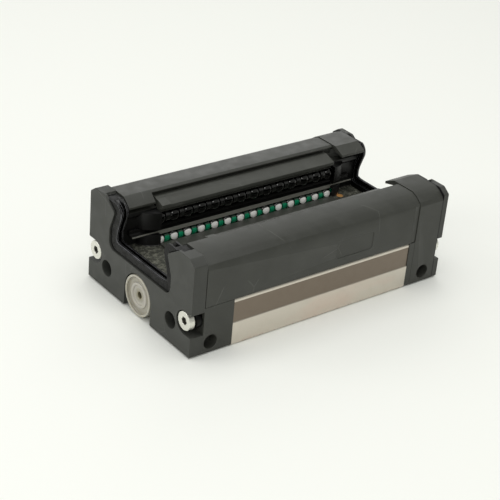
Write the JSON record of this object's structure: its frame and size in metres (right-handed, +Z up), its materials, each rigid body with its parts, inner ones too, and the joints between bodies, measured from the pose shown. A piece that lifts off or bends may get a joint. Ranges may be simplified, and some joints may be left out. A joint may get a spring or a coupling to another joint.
{
  "type": "linear guide carriage",
  "caption": "Linear guide carriage with recirculating ball rows, end caps and wiper seals, lying on its mounting face with the rail channel up.",
  "frame": {"origin": "under the middle of the whole carriage, on its mounting face", "axes": "+X along the rail from the front end to the rear end, +Y across, +Z up out of the rail channel"},
  "size_m": [0.0856, 0.048, 0.0278],
  "materials": {
    "ground_steel": "fine ground hardened steel, warm grey",
    "cap_plastic": "black glass-filled moulded plastic, satin",
    "plate_plastic": "dark grey plate with a fine grain",
    "cover_plastic": "black moulded plastic, satin",
    "seal_rubber": "black nitrile rubber with a film of grease",
    "strip_plastic": "dark grey plastic, smooth",
    "bar_metal": "plain drawn metal with an oil film",
    "plug_plastic": "pale translucent plastic, greasy",
    "screw_steel": "bright plated steel",
    "guide_plastic": "natural acetal, hidden",
    "ball_steel": "polished bearing steel, oiled",
    "spacer_plastic": "saturated green plastic"
  },
  "bodies": {
    "root": {"balls_far_lower": "ball_steel", "balls_far_upper": "ball_steel", "balls_near_lower": "ball_steel", "balls_near_upper": "ball_steel", "end_screws": "screw_steel", "floor_retainer": "strip_plastic", "front_end_cap": "cap_plastic", "front_end_plate": "plate_plastic", "front_grease_plug": "plug_plastic", "front_turn_guide_far": "guide_plastic", "front_turn_guide_near": "guide_plastic", "front_wiper_seal": "seal_rubber", "rear_end_cap": "cap_plastic", "rear_end_plate": "plate_plastic", "rear_grease_plug": "plug_plastic", "rear_turn_guide_far": "guide_plastic", "rear_turn_guide_near": "guide_plastic", "rear_wiper_seal": "seal_rubber", "retainer_bar_far": "bar_metal", "retainer_bar_near": "bar_metal", "return_tube_far_lower": "guide_plastic", "return_tube_far_upper": "guide_plastic", "return_tube_near_lower": "guide_plastic", "return_tube_near_upper": "guide_plastic", "saddle_block": "ground_steel", "screw_collars": "screw_steel", "seal_strip_far": "strip_plastic", "seal_strip_near": "strip_plastic", "side_cover_far": "cover_plastic", "side_cover_near": "cover_plastic", "spacers_far_lower": "spacer_plastic", "spacers_far_upper": "spacer_plastic", "spacers_near_lower": "spacer_plastic", "spacers_near_upper": "spacer_plastic"}
  },
  "joints": []
}
